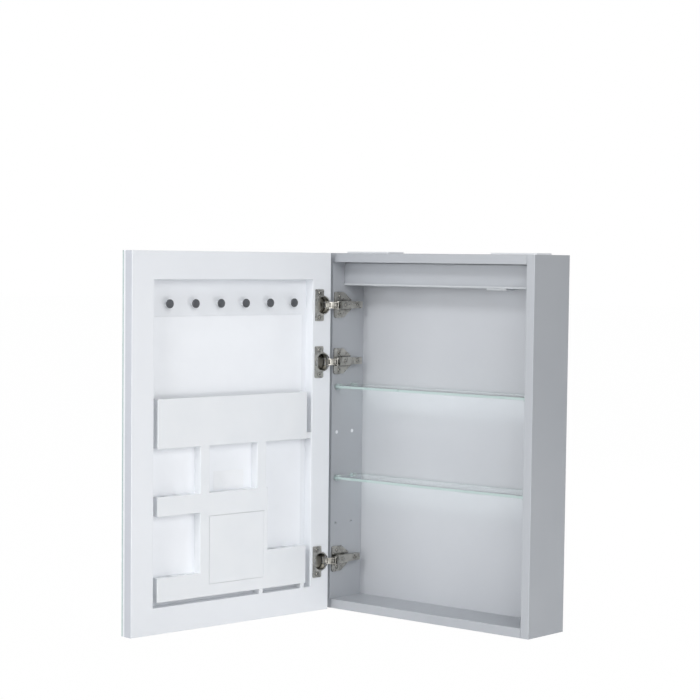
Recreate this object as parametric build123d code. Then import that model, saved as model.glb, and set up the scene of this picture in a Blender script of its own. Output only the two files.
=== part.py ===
from build123d import *
import math
import os

# Bathroom mirror cabinet with one door, hung on a wall.
# Lengths are millimetres. The case is drawn from its front lower left corner:
# X runs right, Y runs back to the wall and Z runs up. One move at the end puts
# the origin between the two wall hooks, on the wall.

# Case
CASE_W = 500.0
CASE_H = 700.0
CASE_D = 110.0
BOARD_T = 18.0
BACK_T = 5.0
HANG_SPACE = 12.4        # room behind the back panel for the wall hooks
GROOVE_DEPTH = 6.0
GROOVE_CLEAR = 0.1
BOARD_EASE = 1.0         # softened front edges of the boards

# Wall hanging
RAIL_H = 64.0
BRACKET_T = 2.0
BRACKET_W = 56.0
BRACKET_H = 52.0
BRACKET_INSET = 50.0     # hook line from the case side
BRACKET_CORNER = 8.0
HOOK_DROP = 45.0         # hook line below the case top
SLOT_L = 20.0
SLOT_W = 8.0
POCKET_W = 34.0
POCKET_H = 26.0
BRACKET_SCREW_X = 22.0
BRACKET_SCREW_Z = 18.0

# Light unit under the top
FASCIA_TO_BACK = 58.6     # fascia front to the back panel
FASCIA_T = 10.0
FASCIA_H = 41.0
END_CLEAR = 0.2
TRAY_D = 12.0
TRAY_WALL = 1.5
LED_T = 1.6
TRIM_H = 4.0
TRIM_OVERHANG = 2.0
UNIT_BACK_GAP = 7.6
UNIT_D = 25.0
DRIVER_IN = 135.0         # from the right side board
DRIVER_W = 47.0
DRIVER_H = 49.0
PLUG_IN = 78.0
PLUG_W = 22.0
PLUG_H = 45.0
CLIP_IN = 52.0            # from the left side board
CLIP_W = 26.0
CLIP_H = 46.0
UNIT_EASE = 1.5

# Covers on top of the case
COVER_L = 105.0
COVER_D = 50.0
COVER_H = 3.0
COVER_INSET = 22.0
COVER_Y = 35.0

# Shelves and their clips
SHELF_T = 5.0
SHELF_Y = 7.0
SHELF_BACK_GAP = 1.6
SHELF_SIDE_GAP = 1.0
ROW_FIRST = 168.0
ROW_TOP_DROP = 262.0      # highest row below the case top
ROWS = 4
LOWER_SHELF_ROW = 1
UPPER_SHELF_ROW = 3
OPEN_SLEEVE_ROW = 0
CLOSED_SLEEVE_ROW = 2
PIN_FRONT_Y = 15.0
PIN_BACK_GAP = 31.6       # back holes to the back panel
PIN_HOLE_R = 2.5
PIN_HOLE_DEPTH = 9.0
SPIGOT_CLEAR = 0.05
CLIP_REACH = 9.0
CLIP_WIDE = 10.0
CLIP_JAW = 3.0
JAW_CLEAR = 0.1
CLIP_EASE = 1.0
SLEEVE_RIM_R = 3.6
SLEEVE_RIM_T = 0.6
SLEEVE_BORE_R = 1.6

# Door
DOOR_W = 484.0
DOOR_GAP = 1.5           # between the closed door and the case
DOOR_REVEAL = 8.0        # case edge left bare beside the closed door
FRAME_T = 19.5
DOOR_BOARD_T = 5.0
MIRROR_T = 4.0
HINGE_STILE_W = 47.0
FREE_STILE_W = 50.0
TOP_RAIL_H = 52.0
BOTTOM_RAIL_H = 49.0
DOOR_EASE = 1.5

# Pegs
PEG_FROM_HINGE_STILE = 39.5
PEG_FROM_FREE_STILE = 43.5
PEG_COUNT = 6
PEG_DROP = 96.5
PEG_R = 4.5
PEG_PROUD = 8.5
CAP_R = 8.25
CAP_T = 3.0
CAP_EASE = 0.8

# Organiser in the door
ORG_SIDE_GAP = 12.5
ORG_FREE_GAP = 10.0
ORG_FOOT = 9.0
ORG_TOP_DROP = 120.0      # top of the organiser sheet below the door top
ORG_SHEET = 1.6
ORG_WALL = 2.0
POCKET_Z = 340.0
POCKET_FRONT_H = 91.0
SMALL_Z = 216.0
SMALL_H = 36.0
SMALL_S = 158.0
CORNER_TOP = 103.0
COLUMN_TOP = 132.0
COLUMN_S = 159.0
POST_INNER_S = 163.0
POST_OUTER_S = 302.0
POST_W = 22.0
COVER_S = 168.0
COVER_W = 133.5
COVER_Z = 81.0
COVER_TALL = 127.0
COVER_GAP = 0.5
COVER_EASE = 0.7
LEDGE_H = 12.0            # lug that steadies the wide pocket on the hinge stile
LABEL_S = 205.5
LABEL_W = 74.0
LABEL_Z = 254.0
LABEL_H = 35.0
LABEL_T = 0.5
HOLE_R = 6.0
HOLE_EDGE = 20.0          # first hole from the end of a row of three
PAIR_EDGE = 35.0          # and of a pair
SMALL_HOLES = 3
CORNER_HOLES = 2
COLUMN_HOLES = 3
TAB_W = 9.0
TAB_S = (63.0, 169.0)
SEAT_CLEAR = 0.1

# Concealed hinges
HINGE_DROPS = {"top": 101.5, "middle": 212.0}
HINGE_LIFT = 96.5
CUP_R = 17.5
CUP_FIT = 0.05
CUP_WALL = 1.0
CUP_FLOOR = 0.8
CUP_DEPTH = 13.2
CUP_S = 20.5
CUP_FLANGE_T = 1.2
CUP_WING_W = 22.0
CUP_WING_H = 61.5
CUP_WING_S = 30.0
CUP_RIM_R = 18.5
RIM_NOTCH_H = 14.4
RIM_NOTCH_DEPTH = 3.5
EAR_IN = 6.6
EAR_T = 1.2
PIN_R = 1.0
PIN_FIT = 0.02
EYE_FIT = 0.05
EYE_R = 2.0
LINK_T = 2.0
OPEN_DEG = 95.8          # the door stands at its fully open stop
OUTER_SWING_DEG = 58.968
INNER_SWING_DEG = 27.95
CASE_PIN = (16.855, -8.968)    # outer link pin: out from the side panel, from the case front
CASE_PIN_2 = (21.9, -9.0)      # inner link pin
CUP_PIN = (8.5, 2.5)           # outer link pin: from the door edge, below the door face
CUP_PIN_2 = (8.0, 7.5)         # where the inner link points to inside the cup
OUTER_HALF = 4.5
OUTER_BOW = 1.2
INNER_IN = 5.0
INNER_T = 1.2
INNER_BOW = 3.8
INNER_SHORT = 0.74       # the inner link stops at this share of its way
WEB_FROM = 0.3
WEB_TO = 0.52
ARM_IN = 6.6
ARM_T = 1.4
ARM_END = 74.0
ARM_RISE = 13.5
ARM_FOOT = 3.0
ARM_KNEE = 2.0           # the arm's back bends twice on its way up to the nose
KNEE_Y = 8.0
RUN_Y = 14.0
NOSE_Y = -4.0
NOSE_LIP = 0.9
TAIL_HALF = 6.75
TAIL_FROM = 46.0
TAIL_SLOPE = 10.0
PLATE_T = 2.0
PLATE_HALF = 25.5
PLATE_Y = 3.0
PLATE_END = 64.0
WING_EASE = 2.5
WING_L = 16.0
WING_SLOPE = 18.0
BLOCK_Y = 16.0
BLOCK_HALF = 5.2
PLATE_SCREW_Y = 18.0
PLATE_SCREW_Z = 17.0
CUP_SCREW_Z = 24.0
SCREW_HEAD_R = 3.5
SCREW_HEAD_H = 1.4
SCREW_R = 1.7
SCREW_L = 11.0
SCREW_CLEAR = 0.05
ARM_SCREW_Y = (24.0, 60.0)

# Places worked out from the sizes above
INNER_X0 = BOARD_T
INNER_X1 = CASE_W - BOARD_T
INNER_TOP = CASE_H - BOARD_T
BACK_Y0 = CASE_D - HANG_SPACE - BACK_T
BACK_Y1 = CASE_D - HANG_SPACE
HOOK_Z = CASE_H - HOOK_DROP
FASCIA_Y = BACK_Y0 - FASCIA_TO_BACK
UNIT_Y = BACK_Y0 - UNIT_BACK_GAP - UNIT_D
PIN_BACK_Y = BACK_Y0 - PIN_BACK_GAP
RECESS_S0 = HINGE_STILE_W
RECESS_S1 = DOOR_W - FREE_STILE_W
RECESS_Z0 = BOTTOM_RAIL_H
RECESS_Z1 = CASE_H - TOP_RAIL_H
ORG_S0 = RECESS_S0 + ORG_SIDE_GAP
ORG_S1 = RECESS_S1 - ORG_FREE_GAP
ORG_Z0 = RECESS_Z0 + ORG_FOOT
ORG_Z1 = CASE_H - ORG_TOP_DROP
ORG_FLOOR = FRAME_T - ORG_SHEET
ARM_HALF = ARM_IN + ARM_T
HINGE_Z = {
    "top": CASE_H - HINGE_DROPS["top"],
    "middle": CASE_H - HINGE_DROPS["middle"],
    "bottom": HINGE_LIFT,
}


def block(x0, x1, y0, y1, z0, z1):
    """A box from its lowest corner to its highest corner."""
    low = (Align.MIN, Align.MIN, Align.MIN)
    return Pos(x0, y0, z0) * Box(x1 - x0, y1 - y0, z1 - z0, align=low)


def rod_x(radius, x0, x1, y, z):
    """A round rod along X."""
    return Pos((x0 + x1) / 2, y, z) * Rot(0, 90, 0) * Cylinder(radius, x1 - x0)


def rod_y(radius, y0, y1, x, z):
    """A round rod along Y."""
    return Pos(x, (y0 + y1) / 2, z) * Rot(90, 0, 0) * Cylinder(radius, y1 - y0)


def rod_z(radius, z0, z1, x, y):
    """A round rod along Z."""
    return Pos(x, y, (z0 + z1) / 2) * Cylinder(radius, z1 - z0)


def polygon_z(points, half):
    """A straight-sided outline in X and Y, made solid both ways along Z."""
    return extrude(make_face(Polyline(*points, close=True)), half, both=True)


def across_x(points, thick):
    """A straight-sided outline in Y and Z, made solid along X."""
    return Rot(0, 90, 0) * Rot(0, 0, 90) * extrude(make_face(Polyline(*points, close=True)), thick)


def turn(point, degrees):
    """A point turned about the origin."""
    a = math.radians(degrees)
    x, y = point
    return (x * math.cos(a) - y * math.sin(a), x * math.sin(a) + y * math.cos(a))


def hinge_places():
    """Pins of the four-bar hinge and where the open door's edge lies."""
    pin_a = (BOARD_T + CASE_PIN[0], CASE_PIN[1])
    pin_b = (BOARD_T + CASE_PIN_2[0], CASE_PIN_2[1])
    closed_c = (DOOR_REVEAL + CUP_PIN[0], -DOOR_GAP - CUP_PIN[1])
    reach = (closed_c[0] - pin_a[0], closed_c[1] - pin_a[1])
    open_reach = turn(reach, OUTER_SWING_DEG)
    open_c = (pin_a[0] + open_reach[0], pin_a[1] + open_reach[1])
    back = turn((CUP_PIN[0], -CUP_PIN[1]), -OPEN_DEG)
    edge = (open_c[0] - back[0], open_c[1] - back[1])
    aim = turn((CUP_PIN_2[0], -CUP_PIN_2[1]), -OPEN_DEG)
    open_d = (edge[0] + aim[0], edge[1] + aim[1])
    return {"a": pin_a, "b": pin_b, "c": open_c, "d": open_d, "edge": edge}


PINS = hinge_places()
DOOR_PLACE = Pos(PINS["edge"][0], PINS["edge"][1], 0) * Rot(0, 0, -OPEN_DEG)
CASE_PLACE = Pos(-CASE_W / 2, -CASE_D, -HOOK_Z)


def on_door(s0, s1, d0, d1, z0, z1):
    """A box in the door: along it from the hinge edge, then into it from its inner face."""
    return block(s0, s1, -d1, -d0, z0, z1)


def row_heights():
    """Heights of the shelf hole rows."""
    pitch = (CASE_H - ROW_TOP_DROP - ROW_FIRST) / (ROWS - 1)
    return [ROW_FIRST + pitch * row for row in range(ROWS)]


def side_panel(inner_x, outward):
    """A side board with its groove and two columns of shelf holes."""
    outer_x = inner_x + outward * BOARD_T
    panel = block(min(inner_x, outer_x), max(inner_x, outer_x), 0, CASE_D, 0, CASE_H)
    panel = fillet(panel.edges().filter_by(Axis.Z).group_by(Axis.Y)[0], BOARD_EASE)
    groove_x = inner_x + outward * GROOVE_DEPTH
    panel -= block(min(inner_x, groove_x), max(inner_x, groove_x),
                   BACK_Y0 - GROOVE_CLEAR, BACK_Y1 + GROOVE_CLEAR,
                   BOARD_T - GROOVE_DEPTH, INNER_TOP + GROOVE_DEPTH)
    hole_x = inner_x + outward * PIN_HOLE_DEPTH
    for height in row_heights():
        for y in (PIN_FRONT_Y, PIN_BACK_Y):
            panel -= rod_x(PIN_HOLE_R, min(inner_x, hole_x), max(inner_x, hole_x), y, height)
    return panel


def side_panel_left():
    """The left side also takes the hinge plate screws."""
    panel = side_panel(INNER_X0, -1)
    for z in HINGE_Z.values():
        for side in (-1, 1):
            panel -= rod_x(SCREW_R + SCREW_CLEAR, INNER_X0 + PLATE_T - SCREW_L - SCREW_CLEAR,
                           INNER_X0, PLATE_SCREW_Y, z + side * PLATE_SCREW_Z)
    return panel


def level_panel(z0, groove_up):
    """Top or bottom board between the sides, grooved for the back."""
    panel = block(INNER_X0, INNER_X1, 0, CASE_D, z0, z0 + BOARD_T)
    panel = fillet(panel.edges().filter_by(Axis.X).group_by(Axis.Y)[0], BOARD_EASE)
    inner_z = z0 + BOARD_T if groove_up else z0
    groove_z = inner_z - GROOVE_DEPTH if groove_up else inner_z + GROOVE_DEPTH
    panel -= block(INNER_X0, INNER_X1, BACK_Y0 - GROOVE_CLEAR, BACK_Y1 + GROOVE_CLEAR,
                   min(inner_z, groove_z), max(inner_z, groove_z))
    return panel


def back_panel():
    """Thin back that slides in the grooves."""
    tongue = GROOVE_DEPTH - GROOVE_CLEAR
    return block(INNER_X0 - tongue, INNER_X1 + tongue, BACK_Y0, BACK_Y1,
                 BOARD_T - tongue, INNER_TOP + tongue)


def bracket_centres():
    """Where the two wall hooks sit along the case."""
    return {"left": BRACKET_INSET, "right": CASE_W - BRACKET_INSET}


def bracket_screw_places(x):
    """Four screws round a bracket."""
    return [(x + i * BRACKET_SCREW_X, HOOK_Z + k * BRACKET_SCREW_Z) for i in (-1, 1) for k in (-1, 1)]


def hanging_rail():
    """Rail behind the back, with a window for each wall hook."""
    y1 = CASE_D - BRACKET_T
    rail = block(INNER_X0, INNER_X1, BACK_Y1, y1, INNER_TOP - RAIL_H, INNER_TOP)
    for x in bracket_centres().values():
        rail -= block(x - POCKET_W / 2, x + POCKET_W / 2, BACK_Y1, y1,
                      HOOK_Z - POCKET_H / 2, HOOK_Z + POCKET_H / 2)
        for sx, sz in bracket_screw_places(x):
            rail -= rod_y(SCREW_R + SCREW_CLEAR, y1 - SCREW_L + BRACKET_T, y1, sx, sz)
    return rail


def hanging_bracket(x):
    """Pressed steel plate with a level slot for the wall hook."""
    y0 = CASE_D - BRACKET_T
    plate = block(x - BRACKET_W / 2, x + BRACKET_W / 2, y0, CASE_D,
                  HOOK_Z - BRACKET_H / 2, HOOK_Z + BRACKET_H / 2)
    plate = fillet(plate.edges().filter_by(Axis.Y), BRACKET_CORNER)
    slot = Pos(x, CASE_D, HOOK_Z) * Rot(90, 0, 0) * SlotOverall(SLOT_L, SLOT_W)
    plate -= extrude(slot, BRACKET_T * 2, both=True)
    for sx, sz in bracket_screw_places(x):
        plate -= rod_y(SCREW_R + SCREW_CLEAR, y0, CASE_D, sx, sz)
    return plate


def bracket_screws():
    """Flush screws through both brackets."""
    y0 = CASE_D - SCREW_L + BRACKET_T
    return [rod_y(SCREW_R, y0, CASE_D, sx, sz)
            for x in bracket_centres().values() for sx, sz in bracket_screw_places(x)]


def light_fascia():
    """Rail across the front of the light unit."""
    return block(INNER_X0 + END_CLEAR, INNER_X1 - END_CLEAR, FASCIA_Y, FASCIA_Y + FASCIA_T,
                 INNER_TOP - FASCIA_H, INNER_TOP)


def fascia_trim():
    """Pale lip that closes the light unit below."""
    z1 = INNER_TOP - FASCIA_H
    strip = block(INNER_X0 + END_CLEAR, INNER_X1 - END_CLEAR, FASCIA_Y - TRIM_OVERHANG,
                  FASCIA_Y + FASCIA_T + TRAY_D, z1 - TRIM_H, z1)
    return fillet(strip.edges().filter_by(Axis.X).group_by(Axis.Z)[0], TRIM_H / 3)


def lamp_tray():
    """Channel behind the fascia, open downwards."""
    y0 = FASCIA_Y + FASCIA_T
    z0 = INNER_TOP - FASCIA_H
    tray = block(INNER_X0 + END_CLEAR, INNER_X1 - END_CLEAR, y0, y0 + TRAY_D, z0, INNER_TOP)
    return tray - block(INNER_X0, INNER_X1, y0 + TRAY_WALL, y0 + TRAY_D - TRAY_WALL,
                        z0, INNER_TOP - TRAY_WALL)


def led_strip():
    """Strip of lamps under the tray's web."""
    y0 = FASCIA_Y + FASCIA_T + TRAY_WALL
    z1 = INNER_TOP - TRAY_WALL
    return block(INNER_X0 + BOARD_T, INNER_X1 - BOARD_T, y0 + END_CLEAR,
                 y0 + TRAY_D - 2 * TRAY_WALL - END_CLEAR, z1 - LED_T, z1)


def hung_unit(x0, wide, tall):
    """A small white housing screwed under the top."""
    unit = block(x0, x0 + wide, UNIT_Y, UNIT_Y + UNIT_D, INNER_TOP - tall, INNER_TOP)
    return fillet(unit.edges().group_by(Axis.Z)[0] + unit.edges().filter_by(Axis.Z), UNIT_EASE)


def top_cover(x0):
    """Thin cover plate on top of the case."""
    plate = block(x0, x0 + COVER_L, COVER_Y, COVER_Y + COVER_D, CASE_H, CASE_H + COVER_H)
    return fillet(plate.edges().filter_by(Axis.Z), COVER_H)


def glass_shelf(row):
    """Float glass shelf gripped by four clips."""
    z = row_heights()[row]
    return block(INNER_X0 + SHELF_SIDE_GAP, INNER_X1 - SHELF_SIDE_GAP, SHELF_Y,
                 BACK_Y0 - SHELF_BACK_GAP, z - SHELF_T / 2, z + SHELF_T / 2)


def shelf_clips(row):
    """Four clear clips: a spigot in the side and a jaw round the glass."""
    z = row_heights()[row]
    clips = []
    for wall_x, inward in ((INNER_X0, 1), (INNER_X1, -1)):
        tip_x = wall_x + inward * CLIP_REACH
        root_x = wall_x - inward * (PIN_HOLE_DEPTH - END_CLEAR)
        slot_x = wall_x + inward * (SHELF_SIDE_GAP - JAW_CLEAR)
        for y in (PIN_FRONT_Y, PIN_BACK_Y):
            half = SHELF_T / 2 + CLIP_JAW
            clip = block(min(wall_x, tip_x), max(wall_x, tip_x), y - CLIP_WIDE / 2,
                         y + CLIP_WIDE / 2, z - half, z + half)
            clip = fillet(clip.edges().filter_by(Axis.Y), CLIP_EASE)
            clip -= block(min(slot_x, tip_x), max(slot_x, tip_x), y - CLIP_WIDE, y + CLIP_WIDE,
                          z - SHELF_T / 2 - JAW_CLEAR, z + SHELF_T / 2 + JAW_CLEAR)
            clip += rod_x(PIN_HOLE_R - SPIGOT_CLEAR, min(root_x, wall_x), max(root_x, wall_x), y, z)
            clips.append(clip)
    return clips


def hole_sleeves():
    """White sleeves in the shelf holes that carry no shelf: one row open, one row capped."""
    sleeves = []
    for row in (OPEN_SLEEVE_ROW, CLOSED_SLEEVE_ROW):
        z = row_heights()[row]
        for wall_x, inward in ((INNER_X0, 1), (INNER_X1, -1)):
            root_x = wall_x - inward * (PIN_HOLE_DEPTH - END_CLEAR)
            rim_x = wall_x + inward * SLEEVE_RIM_T
            for y in (PIN_FRONT_Y, PIN_BACK_Y):
                sleeve = rod_x(PIN_HOLE_R - SPIGOT_CLEAR, min(root_x, wall_x), max(root_x, wall_x), y, z)
                sleeve += rod_x(SLEEVE_RIM_R, min(wall_x, rim_x), max(wall_x, rim_x), y, z)
                if row == OPEN_SLEEVE_ROW:
                    sleeve -= rod_x(SLEEVE_BORE_R, min(root_x, rim_x), max(root_x, rim_x), y, z)
                sleeves.append(sleeve)
    return sleeves


def hinge_plate(z):
    """Winged plate on the side panel, with the block that the arm clips on."""
    x0 = INNER_X0
    half_outline = [(PLATE_Y, PLATE_HALF - WING_EASE), (PLATE_Y + WING_EASE, PLATE_HALF),
                    (PLATE_Y + WING_L, PLATE_HALF), (PLATE_Y + WING_L + WING_SLOPE, ARM_HALF),
                    (PLATE_END, BLOCK_HALF)]
    outline = [(y, -w) for y, w in half_outline] + half_outline[::-1]
    plate = Pos(x0, 0, z) * across_x(outline, PLATE_T)
    web_x = x0 + ARM_RISE - ARM_T
    plate += block(x0 + PLATE_T, web_x, BLOCK_Y, PLATE_END, z - BLOCK_HALF, z + BLOCK_HALF)
    for side in (-1, 1):
        plate -= rod_x(SCREW_R + SCREW_CLEAR, x0, x0 + PLATE_T, PLATE_SCREW_Y, z + side * PLATE_SCREW_Z)
    for y in ARM_SCREW_Y:
        plate -= rod_x(SCREW_R + SCREW_CLEAR, web_x - SCREW_L / 2, web_x, y, z)
    return plate


def hinge_arm(z):
    """Pressed channel from the plate to its nose, which holds the two link pins."""
    ax, ay = PINS["a"]
    bx, by = PINS["b"]
    web_x = INNER_X0 + ARM_RISE
    foot_x = INNER_X0 + ARM_FOOT
    lip_x = bx + NOSE_LIP
    knee_x = web_x + ARM_KNEE
    profile = [(ax, ay - EYE_R), (bx, by - EYE_R), (bx + EYE_R, by), (lip_x, NOSE_Y),
               (knee_x, KNEE_Y), (web_x, RUN_Y), (web_x, ARM_END), (foot_x, ARM_END),
               (foot_x, RUN_Y), (ax - EYE_R, 0), (ax - EYE_R, ay)]
    arm = polygon_z(profile, ARM_HALF)
    arm += rod_z(EYE_R, -ARM_HALF, ARM_HALF, ax, ay) + rod_z(EYE_R, -ARM_HALF, ARM_HALF, bx, by)
    under = [(0, -CASE_D), (bx + CASE_D, -CASE_D), (bx + CASE_D, NOSE_Y), (lip_x - ARM_T, NOSE_Y),
             (knee_x - ARM_T, KNEE_Y), (web_x - ARM_T, RUN_Y), (web_x - ARM_T, ARM_END), (0, ARM_END)]
    wide = block(0, CASE_W, -CASE_D, TAIL_FROM - ARM_T, -ARM_IN, ARM_IN)
    arm -= polygon_z(under, ARM_IN) & wide
    arm -= polygon_z(under, TAIL_HALF - ARM_T)
    for side in (-1, 1):
        waste = [(TAIL_FROM - TAIL_SLOPE, side * ARM_HALF), (TAIL_FROM, side * TAIL_HALF),
                 (ARM_END, side * TAIL_HALF), (ARM_END, side * 2 * ARM_HALF),
                 (TAIL_FROM - TAIL_SLOPE, side * 2 * ARM_HALF)]
        arm -= across_x(waste, CASE_W)
    for x, y in (PINS["a"], PINS["b"]):
        arm -= rod_z(PIN_R + PIN_FIT, -ARM_HALF, ARM_HALF, x, y)
    for y in ARM_SCREW_Y:
        arm -= rod_x(SCREW_R + SCREW_CLEAR, web_x - 2 * ARM_T, web_x, y, 0)
    return Pos(0, 0, z) * arm


def bowed_link(start, end, bow, half, share=1.0, begin=0.0):
    """A bowed strip between two pins, made solid both ways along Z."""
    length = math.dist(start, end)
    angle = math.degrees(math.atan2(end[1] - start[1], end[0] - start[0]))
    path = SagittaArc((0, 0), (length, 0), bow).edge()
    strip = extrude(trace(path.trim(begin, share), LINK_T), half, both=True)
    return Pos(start[0], start[1], 0) * Rot(0, 0, angle) * strip


def outer_link(z):
    """Narrow link that carries the cup on its far pin."""
    a, c = PINS["a"], PINS["c"]
    link = bowed_link(a, c, OUTER_BOW, OUTER_HALF)
    for x, y in (a, c):
        link += rod_z(EYE_R, -OUTER_HALF, OUTER_HALF, x, y)
    for x, y in (a, c):
        link -= rod_z(PIN_R + EYE_FIT, -OUTER_HALF, OUTER_HALF, x, y)
    return Pos(0, 0, z) * link


def inner_link(z):
    """Wide link: two cheeks outside the narrow one, with a web between them."""
    b, d = PINS["b"], PINS["d"]
    half = INNER_IN + INNER_T
    link = bowed_link(b, d, INNER_BOW, half, INNER_SHORT) + rod_z(EYE_R, -half, half, *b)
    link -= bowed_link(b, d, INNER_BOW, INNER_IN, INNER_SHORT) + rod_z(EYE_R, -INNER_IN, INNER_IN, *b)
    link += bowed_link(b, d, INNER_BOW, half, WEB_TO, WEB_FROM)
    link -= rod_z(PIN_R + EYE_FIT, -half, half, *b)
    return Pos(0, 0, z) * link


def arm_pins():
    """Two pins in each arm's nose."""
    return [rod_z(PIN_R, z - ARM_HALF, z + ARM_HALF, *PINS[key])
            for z in HINGE_Z.values() for key in ("a", "b")]


def hinge_cup(z):
    """Cup pressed in the door, with its winged flange and the ears that hold the pin."""
    top = CUP_FLANGE_T
    cup = rod_y(CUP_R - CUP_FIT, -CUP_DEPTH, 0, CUP_S, 0)
    flange = rod_y(CUP_RIM_R, 0, top, CUP_S, 0)
    wing = block(CUP_WING_S - CUP_WING_W / 2, CUP_WING_S + CUP_WING_W / 2, 0, top,
                 -CUP_WING_H / 2, CUP_WING_H / 2)
    flange += fillet(wing.edges().filter_by(Axis.Y), 2 * top)
    cup += flange
    inner_r = CUP_R - CUP_FIT - CUP_WALL
    hollow = rod_y(inner_r, -CUP_DEPTH + CUP_FLOOR, top, CUP_S, 0)
    cup -= hollow
    pin_s, pin_d = CUP_PIN
    for side in (-1, 1):
        z0 = side * EAR_IN
        z1 = side * (EAR_IN + EAR_T)
        ear = block(0, pin_s + EYE_R, -pin_d - EYE_R, 0, min(z0, z1), max(z0, z1))
        cup += ear & hollow
    notch = block(0, CUP_S - inner_r + EYE_R, -RIM_NOTCH_DEPTH, top, -RIM_NOTCH_H / 2, RIM_NOTCH_H / 2)
    cup -= notch & block(0, CUP_S, -RIM_NOTCH_DEPTH, top, -EAR_IN, EAR_IN)
    cup -= rod_z(PIN_R + PIN_FIT, -EAR_IN - EAR_T, EAR_IN + EAR_T, pin_s, -pin_d)
    for side in (-1, 1):
        cup -= rod_y(SCREW_R + SCREW_CLEAR, 0, top, CUP_WING_S, side * CUP_SCREW_Z)
    return Pos(0, 0, z) * cup


def cup_pins():
    """One pin across the ears of each cup."""
    s, depth = CUP_PIN
    half = EAR_IN + EAR_T
    return [rod_z(PIN_R, z - half, z + half, s, -depth) for z in HINGE_Z.values()]


def screw_y(x, face_y, z, outward, length):
    """Pan-head screw along Y with its head on a face."""
    head_y = face_y + outward * SCREW_HEAD_H
    tip_y = face_y - outward * length
    head = rod_y(SCREW_HEAD_R, min(face_y, head_y), max(face_y, head_y), x, z)
    return head + rod_y(SCREW_R, min(face_y, tip_y), max(face_y, tip_y), x, z)


def screw_x(face_x, y, z, length):
    """Pan-head screw along X with its head on a face."""
    head = rod_x(SCREW_HEAD_R, face_x, face_x + SCREW_HEAD_H, y, z)
    return head + rod_x(SCREW_R, face_x - length, face_x, y, z)


def plate_screws():
    """Two wood screws in each hinge plate."""
    return [screw_x(INNER_X0 + PLATE_T, PLATE_SCREW_Y, z + side * PLATE_SCREW_Z, SCREW_L)
            for z in HINGE_Z.values() for side in (-1, 1)]


def arm_screws():
    """Clamp screw and adjusting screw on each arm."""
    reach = ARM_T + SCREW_L / 2 - SCREW_CLEAR
    return [screw_x(INNER_X0 + ARM_RISE, y, z, reach) for z in HINGE_Z.values() for y in ARM_SCREW_Y]


def cup_screws():
    """Two wood screws in each cup flange."""
    return [screw_y(CUP_WING_S, CUP_FLANGE_T, z + side * CUP_SCREW_Z, 1, SCREW_L)
            for z in HINGE_Z.values() for side in (-1, 1)]


def stile_hinge():
    """Hinge-side member, bored for the cups and their screws."""
    stile = on_door(0, HINGE_STILE_W, 0, FRAME_T, 0, CASE_H)
    stile = fillet(stile.edges().filter_by(Axis.Z).group_by(Axis.Y)[-1].group_by(Axis.X)[0], DOOR_EASE)
    for z in HINGE_Z.values():
        stile -= rod_y(CUP_R, -CUP_DEPTH, 0, CUP_S, z)
        for side in (-1, 1):
            stile -= rod_y(SCREW_R + SCREW_CLEAR, CUP_FLANGE_T - SCREW_L - SCREW_CLEAR, 0,
                           CUP_WING_S, z + side * CUP_SCREW_Z)
    return stile


def stile_free():
    """Free-side member of the door frame."""
    stile = on_door(RECESS_S1, DOOR_W, 0, FRAME_T, 0, CASE_H)
    return fillet(stile.edges().filter_by(Axis.Z).group_by(Axis.Y)[-1].group_by(Axis.X)[-1], DOOR_EASE)


def door_rail(z0, z1):
    """Top or bottom member between the stiles."""
    return on_door(RECESS_S0, RECESS_S1, 0, FRAME_T, z0, z1)


def door_sheet(d0, thick):
    """A full-size sheet of the door."""
    return on_door(0, DOOR_W, d0, d0 + thick, 0, CASE_H)


def peg_places():
    """Distances of the pegs from the hinge edge."""
    first = RECESS_S0 + PEG_FROM_HINGE_STILE
    last = RECESS_S1 - PEG_FROM_FREE_STILE
    return [first + (last - first) * i / (PEG_COUNT - 1) for i in range(PEG_COUNT)]


def peg_stems():
    """White stems of the pegs."""
    z = CASE_H - PEG_DROP
    return [rod_y(PEG_R, -FRAME_T, -FRAME_T + PEG_PROUD, s, z) for s in peg_places()]


def peg_caps():
    """Dark round caps on the stems."""
    z = CASE_H - PEG_DROP
    y0 = -FRAME_T + PEG_PROUD
    caps = [rod_y(CAP_R, y0, y0 + CAP_T, s, z) for s in peg_places()]
    return [fillet(cap.edges().group_by(Axis.Y)[-1], CAP_EASE) for cap in caps]


def organiser_panel():
    """Back sheet of the organiser with two feet on the lower rail."""
    sheet = on_door(ORG_S0, ORG_S1, ORG_FLOOR, FRAME_T, ORG_Z0, ORG_Z1)
    for s in TAB_S:
        sheet += on_door(s, s + TAB_W, ORG_FLOOR, FRAME_T, RECESS_Z0, ORG_Z0)
    return sheet


def tray(s0, s1, z0, z1, lid):
    """A pocket on the organiser sheet: front, floor and two ends, with or without a lid."""
    body = on_door(s0, s1, 0, ORG_FLOOR, z0, z1)
    body = fillet(body.edges().group_by(Axis.Y)[-1].filter_by(Axis.Z), ORG_WALL / 2)
    top = z1 - ORG_WALL if lid else z1
    return body - on_door(s0 + ORG_WALL, s1 - ORG_WALL, ORG_WALL, ORG_FLOOR, z0 + ORG_WALL, top)


def hole_line(s0, s1, count, edge):
    """Evenly spaced places between two ends, the outer ones at one distance from them."""
    run = s1 - s0 - 2 * edge
    return [s0 + edge + run * i / (count - 1) for i in range(count)]


def holed_tray(s0, s1, z0, z1, places):
    """A pocket with a lid that is pierced for brushes and tubes."""
    body = tray(s0, s1, z0, z1, True)
    middle = -(ORG_WALL + ORG_FLOOR) / 2
    for s in places:
        body -= rod_z(HOLE_R, z1 - ORG_WALL, z1, s, middle)
    return body


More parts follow.
